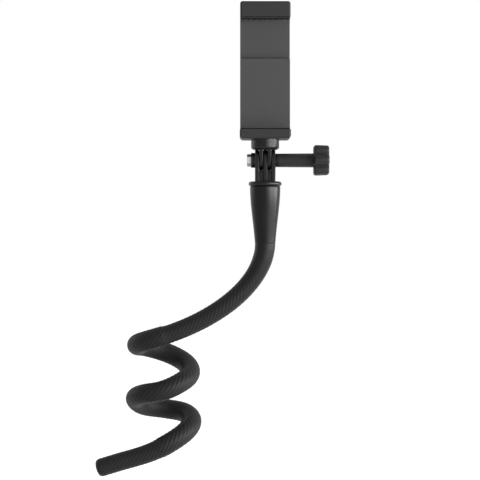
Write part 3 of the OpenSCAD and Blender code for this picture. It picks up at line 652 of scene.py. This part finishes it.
def softened(node, name, edge):
    """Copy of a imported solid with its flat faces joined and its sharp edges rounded."""
    body = bmesh.new()
    body.from_mesh(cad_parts[node].data)
    bmesh.ops.remove_doubles(body, verts=body.verts, dist=SAME_POINT)
    for by_hinge, height, move in FACES_BY_HINGE:
        for vert in body.verts:
            if node == by_hinge and abs(vert.co.z - height * MM) < SAME_POINT:
                vert.co.z += move * MM
    bmesh.ops.dissolve_limit(body, angle_limit=math.radians(FLAT_ANGLE), verts=body.verts,
                             edges=body.edges)
    source = mesh_object(name + " sharp", body)
    source.data.shade_smooth()
    bevel = source.modifiers.new("Edges", "BEVEL")
    bevel.width = edge
    bevel.segments = 2
    bevel.limit_method = "ANGLE"
    bevel.angle_limit = math.radians(SHARP_ANGLE)
    bevel.miter_outer = "MITER_ARC"
    bevel.use_clamp_overlap = True
    even = source.modifiers.new("Even shading", "WEIGHTED_NORMAL")
    even.mode = "FACE_AREA"
    even.weight = 60
    even.keep_sharp = True
    return bake(source, name)


def lobe_radius(angle):
    """Radius of the knob's outline at an angle from the front: round lobes with soft hollows between."""
    pitch = 2 * math.pi / KNOB_LOBES
    off = (angle + pitch / 2) % pitch - pitch / 2
    middle = KNOB_D / 2 - LOBE_R
    lobe = middle * math.cos(off) + math.sqrt(LOBE_R ** 2 - (middle * math.sin(off)) ** 2)
    return (lobe ** HOLLOW_POWER + (middle + HOLLOW_RISE) ** HOLLOW_POWER) ** (1 / HOLLOW_POWER)


def lobed_knob(name):
    """Knob and stem in one closed body, with every section round at the stem and lobed at the knob."""
    stem_r = STEM_D / 2
    flare = (STEM_KNOB_D - STEM_D) / 2
    back = STEM_LEN
    front = STEM_LEN + KNOB_LEN
    quarter = [k * math.pi / 12 for k in range(7)]
    # Each ring is (how far out along the screw, round radius or none, how far inside the lobed outline)
    rings = [(0, stem_r - STEM_EDGE, 0), (STEM_EDGE, stem_r, 0)]
    rings += [(STEM_LEN * k / 8, stem_r + flare * k / 8, 0) for k in range(1, 8)]
    rings += [(back - STEM_FILLET + STEM_FILLET * math.sin(a),
               STEM_KNOB_D / 2 + STEM_FILLET * (1 - math.cos(a)), 0) for a in quarter[::2]]
    rings += [(back + KNOB_EDGE * (1 - math.cos(a)), None, KNOB_EDGE * (1 - math.sin(a)))
              for a in quarter]
    rings += [(front - KNOB_EDGE + KNOB_EDGE * math.sin(a), None,
               KNOB_DRAFT + KNOB_EDGE * (1 - math.cos(a))) for a in quarter]
    rings += [(front - deep, DISH_R + wider, 0) for deep, wider in DISH_RINGS]
    body = bmesh.new()
    loops = []
    for out, round_r, inside in rings:
        loop = []
        for k in range(KNOB_SIDES):
            angle = 2 * math.pi * k / KNOB_SIDES
            r = round_r if round_r else lobe_radius(angle) - inside
            loop.append(body.verts.new(((ARM_REACH + STEM_FROM + out) * MM,
                                        (ARM_Y - r * math.cos(angle)) * MM,
                                        (PIVOT_H + r * math.sin(angle)) * MM)))
        loops.append(loop)
    for low, high in zip(loops, loops[1:]):
        for k in range(KNOB_SIDES):
            n = (k + 1) % KNOB_SIDES
            body.faces.new((low[k], low[n], high[n], high[k]))
    body.faces.new(loops[0])
    body.faces.new(loops[-1])
    bmesh.ops.recalc_face_normals(body, faces=body.faces)
    for face in body.faces:
        face.smooth = len(face.verts) == 4
    return mesh_object(name, body)


def ribbed_pad(name, floor_z, up, groove, lip_rib, lip_slope, material):
    """Rubber liner of a jaw: it lies on the jaw's floor and wraps the lip, with a groove along its seam."""
    lip_back = -JAW_FRONT + LIP_T + SEAT
    wrap_back = lip_back + PAD_WRAP
    front = -JAW_FRONT + PAD_INSET
    back = PLATE_Y - PAD_STOP - SEAT
    top = LIP_H + PAD_T
    outline = ((lip_back, PAD_UNDER), (back, PAD_UNDER), (back, PAD_T), (wrap_back, PAD_T), (wrap_back, top),
               (front + lip_slope, top), (front, top - lip_slope), (front, LIP_H + SEAM_LIP),
               (front + groove, LIP_H + SEAM_FLOOR), (front + groove, LIP_H + PAD_UNDER),
               (lip_back, LIP_H + PAD_UNDER))
    half = CLIP_W / 2 - PAD_SIDE
    body = bmesh.new()
    ends = [[body.verts.new(((ARM_REACH + side) * MM, (ARM_Y + y) * MM, (PIVOT_H + floor_z + up * z) * MM))
             for y, z in outline] for side in (-half, half)]
    for k in range(len(outline)):
        n = (k + 1) % len(outline)
        body.faces.new((ends[0][k], ends[0][n], ends[1][n], ends[1][k]))
    for end in ends:
        body.faces.new(end)
    bmesh.ops.recalc_face_normals(body, faces=body.faces)
    source = mesh_object(name + " sharp", body)
    bevel = source.modifiers.new("Edges", "BEVEL")
    bevel.width = PAD_EDGE * MM
    bevel.segments = 2
    tree, sockets = rib_row_tree(material)
    first_x = ARM_REACH - (RIB_COUNT - 1) / 2 * RIB_PITCH
    # One row of ribs lies on the lip and one on the jaw's floor: from, to, height and radius
    for y_from, y_to, z, radius in ((front + RIBS_INSET, wrap_back, top, lip_rib),
                                    (wrap_back - RIBS_OVERLAP, back, PAD_T, FLOOR_RIB_R)):
        row = source.modifiers.new("Ribs", "NODES")
        row.node_group = tree
        row[sockets["Count"]] = RIB_COUNT
        row[sockets["Pitch"]] = RIB_PITCH * MM
        row[sockets["Radius"]] = radius * MM
        row[sockets["Length"]] = (y_to - y_from) * MM
        row[sockets["First rib"]] = (first_x * MM, (ARM_Y + (y_from + y_to) / 2) * MM,
                                     (PIVOT_H + floor_z + up * z) * MM)
    piece = bake(source, name)
    piece.data.shade_flat()
    return piece


class PHONEMOUNT_OT_arm_skin(bpy.types.Operator):
    """Sweep the ribbed rubber skin along the arm"""
    bl_idname = "phonemount.arm_skin"
    bl_label = "Arm skin"

    def execute(self, context):
        skin = context.scene.phonemount_skin
        route, step = arm_route(skin.ring_step / MM)
        source = route_object("arm route", route, skin_radii(route, step))
        tree, sockets = ribbed_tube_tree(extruded_skin_material(skin.colour))
        sweep = source.modifiers.new("Ribbed skin", "NODES")
        sweep.node_group = tree
        sweep[sockets["Sides"]] = skin.sides
        sweep[sockets["Rib pitch"]] = skin.rib_pitch
        sweep[sockets["Rib height"]] = skin.rib_height
        sweep[sockets["Rib starts"]] = skin.rib_starts
        sweep[sockets["Ribs start"]] = RIBS_START * MM
        sweep[sockets["Ribs full"]] = RIBS_FULL * MM
        sweep[sockets["Total run"]] = (len(route) - 1) * step * MM
        piece = bake(source, "arm_skin")
        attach(piece, "arm")
        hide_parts("neck_skin")
        return {"FINISHED"}


class PHONEMOUNT_OT_mouldings(bpy.types.Operator):
    """Round the edges of the moulded pieces and give them their finishes"""
    bl_idname = "phonemount.mouldings"
    bl_label = "Mouldings"

    def execute(self, context):
        look = context.scene.phonemount_mouldings
        # Spark-eroded moulds give the clip's plastic a dull, even grey without clear highlights
        spark = {"rough": (0.5, 0.6), "specular": 0.15, "grain": (0.5, 0.03)}
        plate = moulded_material("ABS, moulded, fine spark grain", look.clip_colour,
                                 panel=(look.panel_colour, PLATE_BAND), **spark)
        slide = moulded_material("ABS, moulded, fine spark grain, slide", look.clip_colour,
                                 panel=(look.panel_colour, SLIDE_BAND), **spark)
        # Satin nylon is nearly black with a narrow sheen, so that the prongs' edges stand out
        nylon = moulded_material("Nylon, moulded, satin", look.head_colour, rough=(0.27, 0.33),
                                 specular=0.2, grain=(0.6, 0.01))
        # The knob's plastic is greyer than the nylon, with a wider and weaker sheen
        abs_knob = moulded_material("ABS, moulded, satin", look.knob_colour, rough=(0.4, 0.46),
                                    specular=0.15, grain=(0.6, 0.012))
        # Smooth rubber is nearly black, with one clear band of light down the sleeve
        sleeve = moulded_material("Rubber, moulded, smooth", look.sleeve_colour, rough=(0.28, 0.32),
                                  specular=0.17, grain=(0.8, 0.006))
        # Dull silicone rubber: only the pads' front takes the clip's grey, and the rest of each pad is
        # painted near black as shade, so that the ribs read as dark teeth
        pad = moulded_material("Silicone rubber, moulded", linear("#0c0c0d"), rough=(0.55, 0.65),
                               specular=0.1, grain=(0.5, 0.03), panel=(look.pad_colour, PAD_BAND))
        small = look.edge * SMALL_EDGE
        for node, body, material, slot_name, width in (
                ("arm_head", "arm", nylon, "head_plastic", small),
                ("swivel_adapter", "clip", nylon, "head_plastic", small),
                ("clip_base", "clip", plate, "clip_plastic", look.edge),
                ("clip_slide", "upper_jaw", slide, "clip_plastic", look.edge),
                ("grip_sleeve", "arm", sleeve, "sleeve_rubber", small)):
            piece = softened(node, node + "_moulded", width)
            use_material(piece, material)
            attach(piece, body)
            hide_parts(node)
        for node, body, floor_z, up, groove, lip_rib, lip_slope in PADS:
            piece = ribbed_pad(node + "_moulded", floor_z, up, groove, lip_rib, lip_slope, pad)
            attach(piece, body)
            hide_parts(node)
        knob = lobed_knob("thumb_knob_moulded")
        use_material(knob, abs_knob)
        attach(knob, "thumb_screw")
        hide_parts("thumb_knob")
        return {"FINISHED"}


class PHONEMOUNT_OT_springs(bpy.types.Operator):
    """Wind the two springs, which on the clip stretch as the upper jaw slides; the wound springs stay as they
    are made
    """
    bl_idname = "phonemount.springs"
    bl_label = "Springs"

    def execute(self, context):
        winding = context.scene.phonemount_springs
        # Drawn spring wire is pale and fairly bright, so that its coils catch the light one by one
        steel = metal_material("Spring steel wire, drawn", "#a9abae", roughness=0.34, marks=0.4)
        tree, sockets = round_wire_tree(steel)
        wire_r = SPRING_WIRE / 2
        low_r = SPRING_PIN_D / 2 + LOOP_GAP + wire_r
        high_r = SLIDE_SCREW_D / 2 + LOOP_GAP + wire_r
        for node in ("spring_left", "spring_right"):
            low, high = (Vector(corner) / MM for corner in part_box(node))
            middle = (low + high) / 2
            pin = Vector((middle.x, middle.y, low.z + low_r + wire_r))
            screw = Vector((middle.x, middle.y, high.z - high_r - wire_r))
            source = route_object(node + " route", spring_route(pin, screw, low_r, high_r, winding.coils))
            sweep = source.modifiers.new("Round wire", "NODES")
            sweep.node_group = tree
            sweep[sockets["Sides"]] = winding.sides
            sweep[sockets["Wire radius"]] = wire_r * MM
            piece = bake(source, node + "_wound")
            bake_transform(piece)
            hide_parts(node)
        return {"FINISHED"}


class PHONEMOUNT_OT_metals(bpy.types.Operator):
    """Give the metal pieces and the inner fittings their finishes"""
    bl_idname = "phonemount.metals"
    bl_label = "Metals and fittings"

    def execute(self, context):
        # Zinc plating is pale grey and half dull, so that the nut reads as bright but has no hard glints
        zinc = metal_material("Steel, zinc plated", "#a6a8aa", roughness=0.46, marks=0.6)
        # Soft drawn aluminium is paler, with broad cloudy marks
        aluminium = metal_material("Aluminium wire, drawn soft", "#cfd1d3", roughness=0.36, marks=1.2)
        # Turned brass is yellow and the brightest of the metals
        brass = metal_material("Brass, turned", "#b9954e", roughness=0.3, marks=0.5)
        # Dipped vinyl is near black with a soft, low gloss
        vinyl = moulded_material("PVC, dip moulded", linear("#1c1c1d"), rough=(0.5, 0.6), specular=0.4,
                                 grain=(0.8, 0.03))
        finishes = {zinc: ("pivot_nut", "pivot_bolt", "core_ferrule", "core_pin", "tripod_stud",
                           "spring_pins", "slide_screws"),
                    aluminium: ("neck_core",), brass: ("tripod_insert",), vinyl: ("core_end_cap",)}
        for material, nodes in finishes.items():
            for node in nodes:
                use_material(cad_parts[node], material)
        return {"FINISHED"}


def seen_share(tree):
    """1 for rays from the camera, off a gloss or through glass, and 0 for the rays that light the object."""
    ray = add(tree, "ShaderNodeLightPath").outputs
    seen = ray["Is Camera Ray"]
    for other in ("Is Glossy Ray", "Is Transmission Ray"):
        seen = add(tree, "ShaderNodeMath", {0: seen, 1: ray[other]}, operation="MAXIMUM").outputs[0]
    return seen


class PHONEMOUNT_OT_stage(bpy.types.Operator):
    """Set the floor, the lights, the sky and the camera"""
    bl_idname = "phonemount.stage"
    bl_label = "Stage"

    def execute(self, context):
        level = context.scene.phonemount_stage
        scene = context.scene
        corners = [(x * FLOOR_HALF, y * FLOOR_HALF, FLOOR_Z) for x, y in ((-1, -1), (1, -1), (1, 1), (-1, 1))]
        floor_mesh = bpy.data.meshes.new("floor")
        floor_mesh.from_pydata(corners, [], [(0, 1, 2, 3)])
        floor = bpy.data.objects.new("floor", floor_mesh)
        scene.collection.objects.link(floor)
        # Matt white paint, with a glow that only direct views meet, so that it keeps the object's shadow
        paint, tree, shader = start_material("Studio floor, white paint")
        shader.inputs["Base Color"].default_value = linear("#f2f2f2")
        shader.inputs["Roughness"].default_value = 0.9
        shader.inputs["Specular IOR Level"].default_value = 0.1
        glow = add(tree, "ShaderNodeMath", {0: seen_share(tree), 1: FLOOR_GLOW}, operation="MULTIPLY")
        tree.links.new(glow.outputs[0], shader.inputs["Emission Strength"])
        shader.inputs["Emission Color"].default_value = (1, 1, 1, 1)
        use_material(floor, paint)

        world = bpy.data.worlds.new("Studio")
        world.use_nodes = True
        tree = world.node_tree
        tree.nodes.clear()
        strength = add(tree, "ShaderNodeMapRange", {"Value": seen_share(tree), "To Min": level.sky_level,
                                                    "To Max": 1.0})
        sky = add(tree, "ShaderNodeBackground", {"Color": (1, 1, 1, 1),
                                                 "Strength": strength.outputs["Result"]})
        add(tree, "ShaderNodeOutputWorld", {"Surface": sky.outputs["Background"]})
        scene.world = world

        for name, watts, place, size in LIGHTS:
            lamp = bpy.data.lights.new(name, "AREA")
            lamp.shape = "RECTANGLE"
            lamp.size, lamp.size_y = size
            lamp.energy = getattr(level, watts)
            stand = bpy.data.objects.new(name, lamp)
            stand.location = LIT_POINT + place
            stand.rotation_euler = (-place).to_track_quat("-Z", "Y").to_euler()
            scene.collection.objects.link(stand)

        lens = bpy.data.cameras.new("camera")
        lens.lens = LENS_MM
        lens.sensor_width = SENSOR_MM
        camera = bpy.data.objects.new("camera", lens)
        camera.location = CAMERA_PLACE
        camera.rotation_euler = (math.radians(90), 0, 0)
        scene.collection.objects.link(camera)
        scene.camera = camera
        scene.view_settings.view_transform = "Standard"
        return {"FINISHED"}


class PHONEMOUNT_PT_panel(bpy.types.Panel):
    """Lists the mount's settings and its steps"""
    bl_label = "Phone mount"
    bl_idname = "PHONEMOUNT_PT_panel"
    bl_space_type = "VIEW_3D"
    bl_region_type = "UI"
    bl_category = "Phone mount"

    def draw(self, context):
        scene = context.scene
        for settings, steps in ((scene.phonemount_skin, ("phonemount.arm_skin",)),
                                (scene.phonemount_mouldings, ("phonemount.mouldings", "phonemount.metals")),
                                (scene.phonemount_springs, ("phonemount.springs",)),
                                (scene.phonemount_stage, ("phonemount.stage",))):
            box = self.layout.box()
            for name in settings.__annotations__:
                box.prop(settings, name)
            for step in steps:
                box.operator(step)


SETTINGS = {"phonemount_skin": ArmSkinSettings, "phonemount_mouldings": MouldingSettings,
            "phonemount_springs": SpringSettings, "phonemount_stage": StageSettings}
STEPS = (PHONEMOUNT_OT_arm_skin, PHONEMOUNT_OT_mouldings, PHONEMOUNT_OT_springs, PHONEMOUNT_OT_metals,
         PHONEMOUNT_OT_stage)


def register():
    for group in SETTINGS.values():
        bpy.utils.register_class(group)
    for name, group in SETTINGS.items():
        setattr(bpy.types.Scene, name, bpy.props.PointerProperty(type=group))
    for step in STEPS:
        bpy.utils.register_class(step)
    bpy.utils.register_class(PHONEMOUNT_PT_panel)


def unregister():
    bpy.utils.unregister_class(PHONEMOUNT_PT_panel)
    for step in reversed(STEPS):
        bpy.utils.unregister_class(step)
    for name in SETTINGS:
        delattr(bpy.types.Scene, name)
    for group in SETTINGS.values():
        bpy.utils.unregister_class(group)


def main():
    """Dresses the mount."""
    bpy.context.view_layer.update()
    register()
    bpy.ops.phonemount.stage()
    bpy.ops.phonemount.arm_skin()
    bpy.ops.phonemount.mouldings()
    bpy.ops.phonemount.springs()
    bpy.ops.phonemount.metals()


if __name__ == "__main__":
    main()
